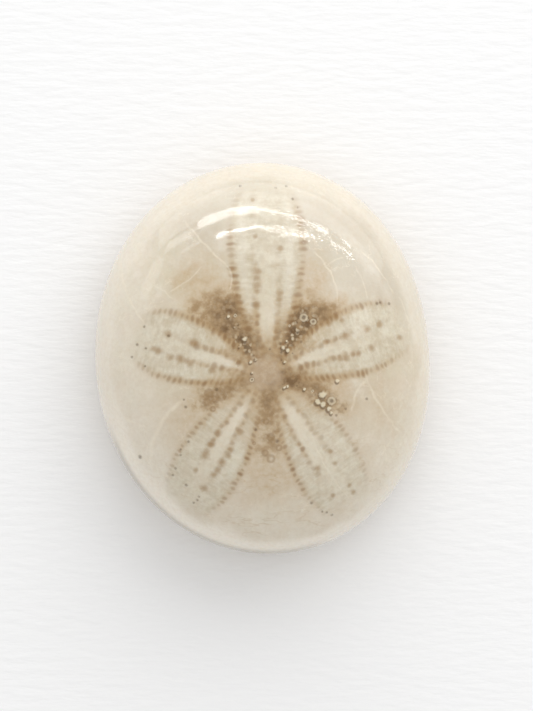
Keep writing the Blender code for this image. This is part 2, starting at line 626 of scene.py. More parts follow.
        cos, sin = (pick(lambda p: heading(p.azimuth)[part]) for part in (0, 1))
        from_x, from_y = x - pick(lambda p: p.root[0]), y - pick(lambda p: p.root[1])
        along, across = from_x * cos + from_y * sin, from_y * cos - from_x * sin
        left = hold(across.above(0)).above(0.5)
        share, pitch = along / pick(lambda p: p.length), pick(lambda p: p.pitch)
        opening = (share / WIDEST_AT).most(0).least(1) * QUARTER
        narrowing = ((share - WIDEST_AT) / (1 - WIDEST_AT)).most(0)
        lens = opening.sin() ** 0.9 * (1 - narrowing * narrowing * TIP_NARROWING)
        outer = pick(lambda p: p.outer) * lens
        inner = pick(lambda p: p.inner) * (along.most(0) / INNER_OPENING).flattened()
        drop = self.form.height - z
        phase = (along * along + drop * drop * ARC_RISE).root() / pitch
        leaning = across - pick(lambda p: p.lean) * share.ramp(0.95, 0.45)
        outer_row = Row(phase, abs(leaning) - outer, by_side(lambda p: p.outer_strength), pitch)
        inner_phase = phase * INNER_SPACING + INNER_START
        inner_row = Row(inner_phase, abs(across) - inner, by_side(lambda p: p.inner_strength), pitch)
        return PetalPlace(share, index * 2 + left, outer_row, inner_row)

    def relief(self) -> Field:
        """How far the petals' bands and pores are sunk below the polished dome.

        Returns:
            The depth, in mm.
        """
        petal, widest = self.petal_place(whole_faces=False), self.form.widest_height
        outer, inner = petal.outer, petal.inner
        half_band = (inner.distance - outer.distance) / 2
        band = (1 - abs((outer.distance + inner.distance) / 2) / half_band).ramp() * half_band
        pores = OUTER_PORE.mask(outer, petal.seed) * outer.strength
        pores = pores + INNER_PORE.mask(inner, petal.seed + INNER_SEED) * inner.strength
        depth = pores * self.size("pore_depth") + band * (2 * self.size("pore_band_sink"))
        z = self.graph.parts(self.graph.here())[2] / MM
        return depth * (petal.share.ramp(0, 0.1) * petal.share.ramp(1, 0.9)) * z.ramp(widest, widest + 0.5)

    def grain(self) -> Field:
        """The height of the small tubercles that cover the unpolished underside.

        Returns:
            The height, in mm.
        """
        graph, form, place = self.graph, self.form, self.graph.here()
        z = graph.parts(place)[2] / MM
        inputs = {"Vector": place, "Scale": 1 / (form.grain_size * MM)}
        bumps = Field(graph, graph.node("ShaderNodeTexVoronoi", inputs).outputs["Distance"]).ramp(0.55, 0.1)
        low_down = z.ramp(form.widest_height - 1, form.widest_height - 3.5)
        return bumps * self.size("grain_height") * z.ramp(0.02, 0.3) * low_down

    def change(
        self, shape: NodeSocket, kind: str, inputs: dict | None = None, **settings: object
    ) -> NodeSocket:
        """Adds a node that changes a shape, and returns the changed one."""
        return self.graph.node(kind, {"Geometry": shape, **(inputs or {})}, **settings).outputs[0]

    def build(self, material: Material) -> NodeTree:
        """Links the whole tree.

        Args:
            material: the stone's material.

        Returns:
            The finished tree.
        """
        graph, store = self.graph, "GeometryNodeStoreNamedAttribute"
        cells = {name: self.form.cells + 1 for name in ("Vertices X", "Vertices Y", "Vertices Z")}
        shape = graph.node("GeometryNodeMeshCube", {"Size": (2, 2, 2), **cells}).outputs["Mesh"]
        place, depths = self.surface()
        for name, depth in depths.items():
            shape = self.change(shape, store, {"Name": name, "Value": depth}, data_type="FLOAT")
        shape = self.change(shape, "GeometryNodeSetPosition", {"Position": place})
        normal = graph.node("GeometryNodeInputNormal").outputs[0]
        lift = (self.grain() - self.relief()) * MM
        offset = graph.vector_math("MULTIPLY", normal, graph.vector(lift, lift, lift))
        shape = self.change(shape, "GeometryNodeSetPosition", {"Offset": offset})
        petal = self.petal_place(whole_faces=True)
        maps = {
            MapName.OUTER_ROW: (petal.outer.phase, petal.outer.distance),
            MapName.INNER_ROW: (petal.inner.phase, petal.inner.distance),
            MapName.PETAL_PLACE: (petal.share, petal.seed),
            MapName.ROW_STRENGTH: (petal.outer.strength, petal.inner.strength),
        }
        for name, pair in maps.items():
            inputs = {"Name": name.value, "Value": graph.vector(*pair)}
            shape = self.change(shape, store, inputs, data_type="FLOAT2", domain="CORNER")
        shape = self.change(shape, "GeometryNodeSetShadeSmooth")
        shape = self.change(shape, "GeometryNodeRealizeInstances")
        shape = self.change(shape, "GeometryNodeSetMaterial", {"Material": material})
        graph.node("NodeGroupOutput", {"Geometry": shape})
        return self.tree


def mesh_from_tree(name: str, tree: StoneTree, material: Material) -> Object:
    """Runs a tree on an empty object, and keeps the result as a plain mesh.

    Args:
        name: the piece's name.
        tree: the tree, which is built here.
        material: the piece's material.

    Returns:
        The piece, at the origin, with no modifier left.
    """
    piece = add_object(name, bpy.data.meshes.new(name))
    modifier = piece.modifiers.new("form", "NODES")
    modifier.node_group = tree.build(material)
    for socket in tree.tree.interface.items_tree:
        if socket.in_out == "INPUT" and socket.name in tree.graph.settings:
            modifier[socket.identifier] = tree.graph.settings[socket.name]
    evaluated = piece.evaluated_get(bpy.context.evaluated_depsgraph_get())
    mesh = bpy.data.meshes.new_from_object(evaluated)
    piece.modifiers.remove(modifier)
    piece.data = mesh
    mesh.name = name
    return piece


# What lies in the polished surface: tubercles, healed cracks and stains. Places are in mm.


class MarkStyle(str, enum.Enum):
    """The ways that a tubercle or a spot shows in the polished surface."""

    RING = "mark_ring"
    DROP = "mark_drop"
    HALO = "mark_halo"
    SPECK = "mark_speck"
    BLOB = "mark_blob"


# How far the edge of each style wavers. The last is the shade under a drop.
MARK_WAVER = {
    MarkStyle.RING.value: 0.6,
    MarkStyle.DROP.value: 1.6,
    MarkStyle.HALO.value: 0.4,
    MarkStyle.SPECK.value: 0.6,
    MarkStyle.BLOB.value: 1.2,
    DROP_SHADE: 0.8,
}


@dataclass(frozen=True)
class Mark:
    """One tubercle or spot.

    Args:
        style: how it shows.
        place: its middle, seen from above.
        radius: its size.
    """

    style: MarkStyle
    place: Place
    radius: float


# The clear ones, each as X, Y and radius: tubercles, specks and the blots of the inner pore rows.
PLACED = {
    MarkStyle.RING: ((4.5, 4.6, 0.46), (7.6, -4.65, 0.47), (5.55, 4.15, 0.36), (-1.25, -2.31, 0.26)),
    MarkStyle.DROP: (
        (6.61, -3.98, 0.42), (6.05, -4.75, 0.34), (6.71, -5.09, 0.32), (7.27, -5.53, 0.28),
        (7.6, -5.97, 0.2), (8.27, -2.43, 0.24), (2.25, 1.25, 0.26), (2.75, 0.95, 0.22),
        (-2.03, 2.23, 0.3), (-1.37, -0.32, 0.22), (-0.81, 0.01, 0.2), (2.4, -0.32, 0.18),
        (2.38, -3.17, 0.18), (2.71, -3.02, 0.16), (-1.2, -1.5, 0.16), (-3.84, 4.74, 0.2),
    ),
    MarkStyle.HALO: (
        (-6.02, -3.75, 0.48), (-6.24, -4.75, 0.46), (-4.69, -4.08, 0.54), (-5.38, -4.42, 0.4),
        (0.85, -11.07, 0.46), (0.85, -8.63, 0.42),
    ),
    MarkStyle.SPECK: (
        (-10.55, 2.58, 0.2), (-13.84, -11.01, 0.26), (-8.8, -4.52, 0.16), (11.52, -4.44, 0.2),
        (9.16, -5.54, 0.18), (-2.6, 19.5, 0.2), (1.4, 19.3, 0.18), (2.6, 19.5, 0.18),
        (3.3, 18, 0.2), (3.9, 17, 0.16), (-13.3, 3.6, 0.18), (-14.1, 1.6, 0.2),
        (-13.1, 1.2, 0.16), (-14.7, 0.2, 0.18), (-13.2, -0.8, 0.16), (-9.2, -10.1, 0.18),
        (-9.2, -10.7, 0.18), (-8.3, -9.2, 0.18), (-9.8, -12.2, 0.2), (-10.1, -13, 0.18),
        (-8.6, -14.1, 0.2), (-7.8, -16.1, 0.2), (-7.4, -15.8, 0.18), (-7.2, -15.4, 0.16),
        (6.6, -17.1, 0.18), (7.1, -17.2, 0.18), (7.7, -17.5, 0.18), (5.4, -16.1, 0.18),
        (12.7, 6.2, 0.2), (13.1, 6.3, 0.18), (14.1, 6.2, 0.2), (1.9, 1.7, 0.18),
        (2, 0.8, 0.2), (3.2, 1.5, 0.22), (3.2, 1.9, 0.16), (4.2, 1.9, 0.2),
        (3.9, 3, 0.22), (2.5, 0.6, 0.18), (-1.9, 0.7, 0.24), (-1.1, 0.4, 0.2),
    ),
    MarkStyle.BLOB: (
        (-10.6, 2.8, 0.42), (-7.7, 1.8, 0.4), (-12.2, 1.1, 0.36), (-11.7, 0.9, 0.4),
        (-10.3, 0.2, 0.4), (-9.3, 0, 0.46), (-8.1, -0.6, 0.36), (-5.7, -1.3, 0.36),
        (9.1, 2.6, 0.46), (11.6, 3.3, 0.38), (13, 3.9, 0.36), (6.9, 1.9, 0.3),
        (10, 0.5, 0.28), (10.6, 0.6, 0.3), (12.1, 1.2, 0.34), (9.2, 0.1, 0.36),
        (8.6, 0, 0.34), (15.3, 2.4, 0.3), (-0.65, 9.7, 0.4), (-0.65, 9, 0.4),
        (-0.65, 8.2, 0.46), (-0.65, 7.5, 0.32), (-0.65, 6, 0.4), (1.9, 12.3, 0.3),
        (1.8, 7.3, 0.36), (1.8, 6.6, 0.32), (-0.9, 13.7, 0.26), (-1.2, 17.9, 0.22),
        (-5.8, -9.4, 0.44), (-6.5, -10.7, 0.52), (-7.5, -12.4, 0.28), (-5, -8.2, 0.36),
        (-2.5, -8.1, 0.32), (-3.6, -10.1, 0.32), (-3.9, -10.8, 0.3), (-4.6, -11.5, 0.42),
        (-5.1, -12.4, 0.36), (-5.5, -12.9, 0.36), (-6.6, -14.4, 0.36), (7.5, -10.3, 0.26),
        (8, -11.6, 0.26), (9.6, -14.1, 0.26), (10.1, -14.9, 0.28), (7.8, -15.2, 0.24),
        (6.1, -12.2, 0.3), (7.3, 4, 0.34), (8.1, 4.5, 0.28), (8.7, 4.3, 0.26),
    ),
}
MARKS = tuple(Mark(style, (x, y), radius) for style, rows in PLACED.items() for x, y, radius in rows)


@dataclass(frozen=True)
class Patch:
    """A soft oval on the stone, seen from above.

    Args:
        place: its middle.
        half_size: how far it reaches along its azimuth and across it.
        azimuth: the way that it runs, in degrees from +X.
    """

    place: Place
    half_size: Place
    azimuth: float


@dataclass(frozen=True)
class MarkField(Patch):
    """A stretch of the stone where small marks are strewn.

    Args:
        counts: how many rings, halos, specks and drops it holds.
        radii: the smallest and the greatest radius.
    """

    counts: tuple[int, int, int, int]
    radii: Place


STREWN_STYLES = (MarkStyle.RING, MarkStyle.HALO, MarkStyle.SPECK, MarkStyle.DROP)
MARK_FIELDS = (
    MarkField((3.7, 3), (3.6, 1.5), 52, (2, 0, 10, 2), (0.12, 0.22)),
    MarkField((-2.6, 2.6), (3.8, 1.4), 126, (1, 0, 7, 2), (0.12, 0.22)),
    MarkField((5.6, -4), (3.2, 1.1), -25, (1, 0, 6, 2), (0.12, 0.22)),
    MarkField((-5.4, -4.3), (2.6, 1), 205, (0, 5, 4, 0), (0.2, 0.4)),
    MarkField((0.7, -8.6), (4.6, 1.6), 270, (0, 7, 2, 0), (0.2, 0.4)),
)


def all_marks(seed: int = 11) -> list[Mark]:
    """Strews small marks over the fields, none on top of another, round the clear ones.

    Args:
        seed: sets the random places.

    Returns:
        The clear marks and the strewn ones.
    """
    chance = np.random.default_rng(seed)
    marks = list(MARKS)
    for stretch in MARK_FIELDS:
        cos, sin = heading(stretch.azimuth)
        for style, count in zip(STREWN_STYLES, stretch.counts):
            for _ in range(count):
                along, across = chance.normal(0.0, 0.5, 2) * stretch.half_size
                x = stretch.place[0] + along * cos - across * sin
                y = stretch.place[1] + along * sin + across * cos
                radius = chance.uniform(*stretch.radii)
                if all(math.dist((x, y), other.place) > radius + other.radius for other in marks):
                    marks.append(Mark(style, (x, y), radius))
    return marks


CRACK_SIZES = (
    "Circle X", "Circle Y", "Radius", "Middle X", "Middle Y", "Half length", "Half width", "Strength",
)


@dataclass(frozen=True)
class Crack:
    """A healed crack: a thin pale arc through three places.

    Args:
        start, through, end: three places along it.
        half_width: half its width.
        strength: how clear it is.
    """

    start: Place
    through: Place
    end: Place
    half_width: float
    strength: float

    def inputs(self) -> dict[str, float]:
        """Works out the circle that it follows.

        Returns:
            The sizes that its node group takes, by name.
        """
        (ax, ay), (bx, by), (cx, cy) = self.start, self.through, self.end
        twice = 2 * (ax * (by - cy) + bx * (cy - ay) + cx * (ay - by))
        a, b, c = ax * ax + ay * ay, bx * bx + by * by, cx * cx + cy * cy
        x = (a * (by - cy) + b * (cy - ay) + c * (ay - by)) / twice
        y = (a * (cx - bx) + b * (ax - cx) + c * (bx - ax)) / twice
        ends = math.dist((x, y), self.start), *self.through, math.dist(self.start, self.end) / 2
        return dict(zip(CRACK_SIZES, (x, y, *ends, self.half_width, self.strength)))


def draw_crack(x: Field, y: Field, *sizes: Field) -> Field:
    """Draws a thin arc that fades at its ends.

    Args:
        x, y: the place.
        sizes: those of CRACK_SIZES, in order.

    Returns:
        The mask.
    """
    circle_x, circle_y, radius, middle_x, middle_y, half_length, half_width, strength = sizes
    off_line = abs(length(x - circle_x, y - circle_y) - radius)
    along = length(x - middle_x, y - middle_y) / half_length
    return (1 - (off_line / half_width).ramp(0.2, 2.4)) * along.ramp(1.05, 0.75) * strength


CRACKS = (
    Crack((-9.04, 15.85), (-6.59, 12.83), (-4.05, 10.46), 0.08, 0.8),
    Crack((-4.05, 10.46), (-3.48, 9), (-3.82, 7.44), 0.08, 0.6),
    Crack((-15.91, 12.16), (-15.44, 7.83), (-12.79, 3.69), 0.08, 0.8),
    Crack((-12.33, 8.37), (-10.84, 7.28), (-9.86, 6.59), 0.06, 0.6),
    Crack((-10.55, 7.28), (-8.51, 8.53), (-6.72, 10.18), 0.06, 0.6),
    Crack((5.73, 11.93), (7.66, 9.31), (8.4, 5.71), 0.07, 0.75),
    Crack((7.09, 10.38), (8.07, 10.92), (9.15, 11.28), 0.06, 0.6),
    Crack((10.93, 12.19), (13.18, 9.86), (14.75, 7.03), 0.07, 0.7),
    Crack((10.22, 10.6), (11.18, 8.65), (11.75, 6.61), 0.06, 0.55),
    Crack((15.26, 7.04), (16.15, 5.09), (16.64, 3.04), 0.06, 0.55),
    Crack((-8.47, -4.43), (-11.5, -7.64), (-12.55, -12.16), 0.14, 0.7),
    Crack((-16.71, -5.08), (-15.09, -6.91), (-12.79, -7.75), 0.08, 0.6),
    Crack((11.62, -2.31), (10.44, -3.95), (9.96, -5.88), 0.09, 0.7),
    Crack((11.62, -2.31), (13.19, -5.42), (16.36, -9.1), 0.09, 0.65),
    Crack((13.61, -9.51), (13.88, -10.7), (13.85, -11.78), 0.06, 0.5),
    Crack((5.95, -9.63), (7.56, -12.95), (10.04, -15.95), 0.06, 0.6),
)

PATCH_SIZES = ("Middle X", "Middle Y", "Cosine", "Sine", "Half length", "Half width", "Strength")


@dataclass(frozen=True)
class Stain(Patch):
    """A soft brown patch, or a granular one. Its strength is how dark or how clear it is."""

    strength: float

    def inputs(self) -> dict[str, float]:
        """Its sizes, by name."""
        return dict(zip(PATCH_SIZES, (*self.place, *heading(self.azimuth), *self.half_size, self.strength)))


def draw_stain(x: Field, y: Field, *sizes: Field) -> Field:
    """Draws a soft oval patch.

    Args:
        x, y: the place.
        sizes: those of PATCH_SIZES, in order.

    Returns:
        The mask.
    """
    middle_x, middle_y, cos, sin, half_length, half_width, strength = sizes
    from_x, from_y = x - middle_x, y - middle_y
    along = (from_x * cos + from_y * sin) / half_length
    across = (from_y * cos - from_x * sin) / half_width
    return length(along, across).ramp(1.25, 0.15) * strength


STAINS = (
    Stain((-2.68, 3.09), (5.4, 2.5), 122, 1.0),
    Stain((-2.9, 5), (3.8, 2.2), 112, 0.6),
    Stain((-5.6, 4.7), (3.4, 2), 150, 0.64),
    Stain((-2.1, 4.8), (4.4, 1), 97, 0.9),
    Stain((-1.5, 2.3), (3, 1.4), 115, 0.7),
    Stain((-6.6, 8.2), (4.6, 4), 70, 0.3),
    Stain((-8.8, 9), (2.6, 0.7), 50, 0.18),
    Stain((-4.6, 0.7), (3.4, 0.6), 160, 0.55),
    Stain((-6.2, 3.2), (3, 1.1), 164, 0.5),
    Stain((3.29, 2.9), (5.4, 2.6), 50, 1.0),
    Stain((6.5, 4.7), (3.8, 1.9), 25, 0.66),
    Stain((6, 2.4), (3.6, 0.9), 20, 0.5),
    Stain((7.6, 3.9), (2.4, 0.9), 22, 0.5),
    Stain((4.3, 1.1), (2.8, 0.8), 24, 0.5),
    Stain((5.6, 8.6), (4.6, 2.6), 80, 0.3),
    Stain((3, -2), (4.2, 1.7), -8, 0.8),
    Stain((3.2, -2.2), (2.4, 1.4), -10, 1.0),
    Stain((6.9, -1.9), (4.2, 1.5), 2, 0.34),
    Stain((7.1, -4.2), (4.4, 2.5), -28, 0.36),
    Stain((6.4, -4.6), (3.6, 1.7), -30, 0.5),
    Stain((13.7, -5.4), (4.6, 2.6), 285, 0.16),
    Stain((0.8, -5.8), (5.6, 3.8), 270, 0.56),
    Stain((1, -11.5), (5.2, 4.6), 270, 0.28),
    Stain((0.9, -14.5), (3.4, 6), 270, 0.12),
    Stain((3.5, -7.6), (4.4, 0.8), 300, 0.34),
    Stain((-4.4, -3.3), (4.8, 2.2), 207, 0.54),
    Stain((-7.31, -6.35), (4.8, 3.4), 225, 0.24),
    Stain((0.31, -0.76), (5.6, 5.6), 0, 0.42),
)

# Where the stone is granular.
GRAINS = (
    Stain((3.6, 2.7), (4.6, 1.7), 54, 1),
    Stain((-1.6, 1.1), (2.8, 1.4), 128, 0.9),
    Stain((-3.9, 4.9), (3.6, 2.2), 122, 0.25),
    Stain((7, -4.9), (3, 1.5), -25, 0.5),
    Stain((-5.2, -4.2), (3, 1.2), 205, 0.25),
    Stain((0.7, -7), (4.5, 1.8), 270, 0.15),
)


@dataclass(frozen=True)
class StoneFinish:
    """The stone's colours: polished cloudy calcite on the dome, dull granular stone underneath."""

    cream: Colour = paint(212, 203, 184)
    cream_olive: Colour = paint(206, 200, 174)
    cream_deep: Colour = paint(202, 188, 166)
    # Pale cream: the stone's own paler clouds and margin, and also painted glow of light through the stone.
    cream_rim: Colour = paint(228, 220, 205)
    cream_warm: Colour = paint(206, 184, 158)
    # Painted shade for the upper right, the side towards the lamps.
    cream_grey: Colour = paint(190, 182, 166)
    # Painted shadow along the lower-left edge.
    rim_shade: Colour = paint(142, 137, 126)
    # Painted glow along the lower-left edge.
    rim_bright: Colour = paint(242, 235, 222)
    petal_pale: Colour = paint(216, 209, 190)
    petal_white: Colour = paint(226, 220, 206)
    petal_wedge: Colour = paint(220, 210, 190)
    petal_base: Colour = paint(184, 171, 144)
    petal_grey: Colour = paint(176, 160, 132)
    stain_light: Colour = paint(182, 155, 116)
    stain_dark: Colour = paint(110, 80, 44)
    disc: Colour = paint(180, 157, 129)
    disc_pale: Colour = paint(199, 180, 154)
    glow: Colour = paint(172, 143, 101)
    pore: Colour = paint(128, 92, 50)
    blot: Colour = paint(148, 114, 68)
    crack: Colour = paint(232, 223, 204)
    mark_pale: Colour = paint(230, 218, 190)
    grain_pale: Colour = paint(206, 194, 168)
    mark_dark: Colour = paint(84, 62, 36)
    halo: Colour = paint(138, 108, 70)
    under: Colour = paint(188, 168, 136)
    under_dark: Colour = paint(96, 74, 50)
    disc_place: Place = (0.20, -1.4)


class StoneLook:
    """The stone's material: its colours laid one over another, and its polish. Places are in mm."""

    def __init__(self, form: StoneForm, tones: StoneFinish) -> None:
        """Starts the material, and reads where a point lies on the stone and in its petal.

        Args:
            form: the stone's sizes.
            tones: its colours.
        """
        self.form, self.tones = form, tones
        self.material, self.graph, self.shader = new_material("polished_calcite")
        object_place = self.graph.node("ShaderNodeTexCoord").outputs["Object"]
        self.place = self.graph.vector_math("MULTIPLY", object_place, (1 / MM,) * 3)
        self.x, self.y, self.z = self.graph.parts(self.place)
        self.dome = self.z.ramp(form.widest_height - 0.6, form.widest_height + 0.2)
        self.under = self.z.ramp(5.2, 2.6)
        self.wobble = self.noise(1.1, 1) - 0.5
        self.petal = self.wandering_petal()
        # The front petal is the first, and the two at the back are the third and the fourth.
        self.front = 1 - self.petal.seed.above(1.5)
        self.back = self.petal.seed.above(3.5) - self.petal.seed.above(7.5)
        self.flank = 1 - self.front - self.back
        share = self.petal.share
        inside = self.petal.outer.distance.ramp(0.25, -0.5) * share.ramp(0.03, 0.14)
        self.inside = inside * share.ramp(1.03, 0.86) * self.dome
        self.wedge = self.wedge_field()
        self.colour: object = tones.cream_deep

    def noise(self, scale: float, detail: float = 2, rough: float = 0.5) -> Field:
        """A noise over the stone."""
        return self.graph.noise(self.place, scale, detail, rough)

    def cloud(self, scale: float, low: float, high: float, detail: float = 2, rough: float = 0.5) -> Field:
        """A noise over the stone, spread out to run from 0 to 1."""
        return self.noise(scale, detail, rough).ramp(low, high)

    def mixed(self, mask: Operand, *tones: object) -> NodeSocket:
        """Mixes two colours, each a plain colour or a socket."""
        low, high = (tone if isinstance(tone, NodeSocket) else (*tone, 1.0) for tone in tones)
        return self.graph.node("ShaderNodeMix", {0: mask, 6: low, 7: high}, data_type="RGBA").outputs[2]

    def lay(self, mask: Operand, tone: object) -> None:
        """Lays a colour over what is there, as far as the mask goes."""
        self.colour = self.mixed(mask, self.colour, tone)

    def mapped(self, name: MapName) -> list[Field]:
        """Reads one of the stone's UV maps."""
        return self.graph.parts(self.graph.node("ShaderNodeUVMap", uv_map=name.value).outputs[0])[:2]

    def attribute(self, name: str) -> Field:
        """Reads a number that the mesh carries at each point."""
        node = self.graph.node("ShaderNodeAttribute", attribute_name=name, attribute_type="GEOMETRY")
        return Field(self.graph, node.outputs["Fac"])

    def warped(self, place: NodeSocket, scale: float, amount: float) -> NodeSocket:
        """Pushes a place about by a noise, so that what is drawn there isn't too even.

        Args:
            place: the place.
            scale: the noise's scale.
            amount: how far it pushes, at most, in mm.

        Returns:
            The place that is pushed about.
        """
        graph = self.graph
        noise = graph.node("ShaderNodeTexNoise", {"Vector": place, "Scale": scale, "Detail": 2})
        centred = graph.vector_math("SUBTRACT", noise.outputs["Color"], (0.5, 0.5, 0.5))
        return graph.vector_math("ADD", place, graph.vector_math("MULTIPLY", centred, (amount,) * 3))

    def away_from(self, place: Place) -> Field:
        """The distance from a place seen from above."""
        return length(self.x - place[0], self.y - place[1])

    def drawn(self, group: NodeTree, place: NodeSocket, shapes: Sequence[Crack | Stain]) -> list[Field]:
        """Draws shapes with their node group.

        Args:
            group: the node group that draws one shape.
            place: the place that it reads.
            shapes: the cracks or the patches.

        Returns:
            The mask of each.
        """
        inputs = ({"Place": place, **shape.inputs()} for shape in shapes)
        nodes = [self.graph.node("ShaderNodeGroup", values, node_tree=group) for values in inputs]
        return [Field(self.graph, node.outputs[0]) for node in nodes]

    def patches(self, group: NodeTree, place: NodeSocket, stains: Sequence[Stain]) -> Field:
        """Adds up soft patches, to a mask that nears 1 where strong ones lie on each other.

        Args:
            group: the node group that draws one patch.
            place: the place that it reads.
            stains: the patches.

        Returns:
            The mask.
        """
        total: Operand = 0.0
        for patch in self.drawn(group, place, stains):
            total = patch + total - patch * total
        return total

    def cracks(self) -> Field:
        """Draws every healed crack, a little wandering.

        Returns:
            The mask.
        """
        total: Operand = 0.0
        group = mask_group("healed_crack", CRACK_SIZES, draw_crack)
        for line in self.drawn(group, self.warped(self.place, 0.7, 0.6), CRACKS):
            total = line.most(total)
        return total * (self.cloud(0.8, 0.3, 0.6) * 0.6 + 0.4)

    def wandering_petal(self) -> PetalPlace:
        """Reads where a point lies in its petal, and lets the rows wander a little.

        Returns:
            The place in the petal.
        """
        outer_phase, outer = self.mapped(MapName.OUTER_ROW)
        inner_phase, inner = self.mapped(MapName.INNER_ROW)
        share, seed = self.mapped(MapName.PETAL_PLACE)
        outer_strength, inner_strength = self.mapped(MapName.ROW_STRENGTH)
        sway = self.noise(0.8, 1) * 0.7
        outer_row = Row(outer_phase + sway, outer + self.wobble * 0.35, outer_strength, PORE_PITCH)
        inner = inner + self.wobble * 0.45
        inner_row = Row(inner_phase - sway, inner, inner_strength, PORE_PITCH / INNER_SPACING)
        return PetalPlace(share, (seed + 0.5).floor(), outer_row, inner_row)

    def wedge_field(self) -> Field:
        """The petal's middle field, between its two inner rows.

        Returns:
            The mask.
        """
        share = self.petal.share
        between = (self.petal.inner.distance + self.wobble * 0.8).ramp(0.3, self.back * 0.3 - 0.6)
        return between * share.ramp(0.09, self.front * 0.04 + 0.28) * share.ramp(1.1, 0.4) * self.dome

    def lay_body(self) -> None:
        """Colours the cloudy calcite, with painted glow on the left and lower side and painted shade on the
        upper right.
        """
        graph, tones, x, y, z = self.graph, self.tones, self.x, self.y, self.z
        self.lay(self.cloud(0.12, 0.36, 0.64, 3, 0.55), tones.cream)
        mottle = self.cloud(0.5, 0.4, 0.74, 4, 0.65)
        self.lay(mottle * (y.ramp(2, 12) * 0.12 + 0.45), tones.cream_deep)
        blots = graph.noise(self.warped(self.place, 0.3, 2), 0.55, 4, 0.6).ramp(0.46, 0.7)
        self.lay(blots * (y.ramp(2, 12) * 0.16 + 0.38), tones.cream_rim)
        self.lay(self.cloud(0.2, 0.4, 0.62, 3, 0.6) * (y.ramp(-12, 6) * 0.26 + 0.1), tones.cream_olive)
        self.lay(self.cloud(0.26, 0.48, 0.72, 3, 0.6) * (y.ramp(6, -10) * 0.18 + 0.12), tones.cream_warm)
        # Painted glow: the left and lower side are made paler, standing in for light that passes through the
        # stone and comes out on its far side.
        self.lay(x.ramp(-8, -15) * 0.44 + y.ramp(-3, -14) * 0.34, tones.cream_rim)
        # Painted shade: the upper right, which faces the lamps, is darkened against the light that falls
        # there.
        self.lay((x * 0.35 + y).ramp(5, 15) * 0.64, tones.cream_grey)
        banks = graph.noise(graph.vector(x * 0.3, y * 1.1, z * 0.6), 0.55, 3, 0.55)
        seams = abs(banks - 0.5).ramp(0.022, 0) * self.cloud(0.35, 0.44, 0.62, 1)
        self.lay(seams * y.ramp(-6, -11) * 0.3, tones.stain_light)
        lit = graph.noise(graph.vector(x * 0.5, y * 0.5, z), 0.5, 4, 0.6)
        veins = abs(lit - 0.47).ramp(0.014, 0) * self.cloud(0.22, 0.46, 0.6, 1)
        self.lay(veins * 0.35, tones.crack)

    def lay_margin(self) -> None:
        """Brightens the margin with its own paler stone and painted glow, and paints shadow on its lower-left
        edge.
        """
        graph, tones, x, y, z = self.graph, self.tones, self.x, self.y, self.z
        height = z + self.noise(0.16) * 3 - 1.5
        lines = graph.noise(graph.vector(z * 1.2, self.noise(0.12) * 4), 1, 3, 0.6).ramp(0.35, 0.65)
        turned = 1 - (x + y).ramp(6, 24) * 0.35 - x.ramp(8, 18) * 0.25
        lower_left = (x + y).ramp(-8, -22)
        edge = height.ramp(lower_left * 1.2 + 12.3, lower_left * 0.8 + 11.1)
        # The pale margin is partly the stone's own paler rim and partly painted glow of light through the
        # stone, weaker on the upper right that faces the lamps.
        rim = height.ramp(14.8, 11.2) * turned * 0.45 + edge * (y.ramp(-6, -16) * 0.32 + 0.36)
        self.lay(rim * (lines * 0.24 + 0.8), tones.cream_rim)
        # Painted glow: the lower-left edge is brightened as if lit through the stone.
        self.lay(edge * (x * 0.5 + y).ramp(-10, -18) * 0.45, tones.rim_bright)
        # Painted shadow: a grey line along the lower-left edge, where the stone's underside is in shadow.
        painted_edge_shadow = z.ramp(11.4, 9.8) * z.ramp(6.6, 8.6) * (x + y).ramp(-10, -20) * y.ramp(-6, -12)
        self.lay(painted_edge_shadow * 0.55, tones.rim_shade)

    def lay_stains(self) -> Field:
        """Stains the stone round the petals' roots, and makes it granular there.

        Returns:
            The stain's mask, which the petals and the pores give way to.
        """
        graph, tones, share = self.graph, self.tones, self.petal.share
        group = mask_group("soft_patch", PATCH_SIZES, draw_stain)
        soft = self.warped(self.warped(self.place, 0.4, 2.2), 1.6, 0.8)
        coarse, fine = self.cloud(0.55, 0.3, 0.62, 3, 0.6), self.cloud(1.2, 0.32, 0.66, 3, 0.55)
        stain = self.patches(group, soft, STAINS) * (coarse * 0.32 + 0.68) * (fine * 0.38 + 0.66) * self.dome
        stain = stain * (1 - self.inside * (share.ramp(0.15, 0.6) * 0.55 + 0.15))
        stain = stain * (1 - self.wedge * 0.85)
        self.lay(stain.ramp(0, 0.5, smooth=False), tones.stain_light)
        self.lay(stain.ramp(0.28, 0.92, smooth=False), tones.stain_dark)

        grainy = self.patches(group, soft, GRAINS) * stain.ramp(0.05, 0.35)
        inputs = {"Vector": self.warped(self.place, 1.4, 0.5), "Scale": 1.75}
        cells = graph.node("ShaderNodeTexVoronoi", inputs, voronoi_dimensions="2D")
        chance, size, _ = graph.parts(cells.outputs["Color"])
        away = Field(graph, cells.outputs["Distance"])
        grain = away.ramp(0.44, 0.14) * chance.ramp(0.1, 0.7, smooth=False)
        gaps = away.ramp(0.3, 0.52) * self.cloud(1.3, 0.42, 0.56)
        pits = away.ramp(0.34, 0.16) * size.ramp(0.74, 0.8, smooth=False)
        self.lay(grainy * grain * 0.8, tones.grain_pale)
        self.lay(grainy * gaps * 0.7, tones.mark_dark)
        self.lay(grainy * pits * 0.8, tones.mark_dark)

        away = self.away_from(tones.disc_place) + self.noise(0.8, 3) * 2.6
        disc = self.mixed(self.cloud(1.2, 0.36, 0.64, 3, 0.6), tones.disc, tones.disc_pale)
        self.lay(away.ramp(4.2, 2) * 0.8, disc)
        return stain

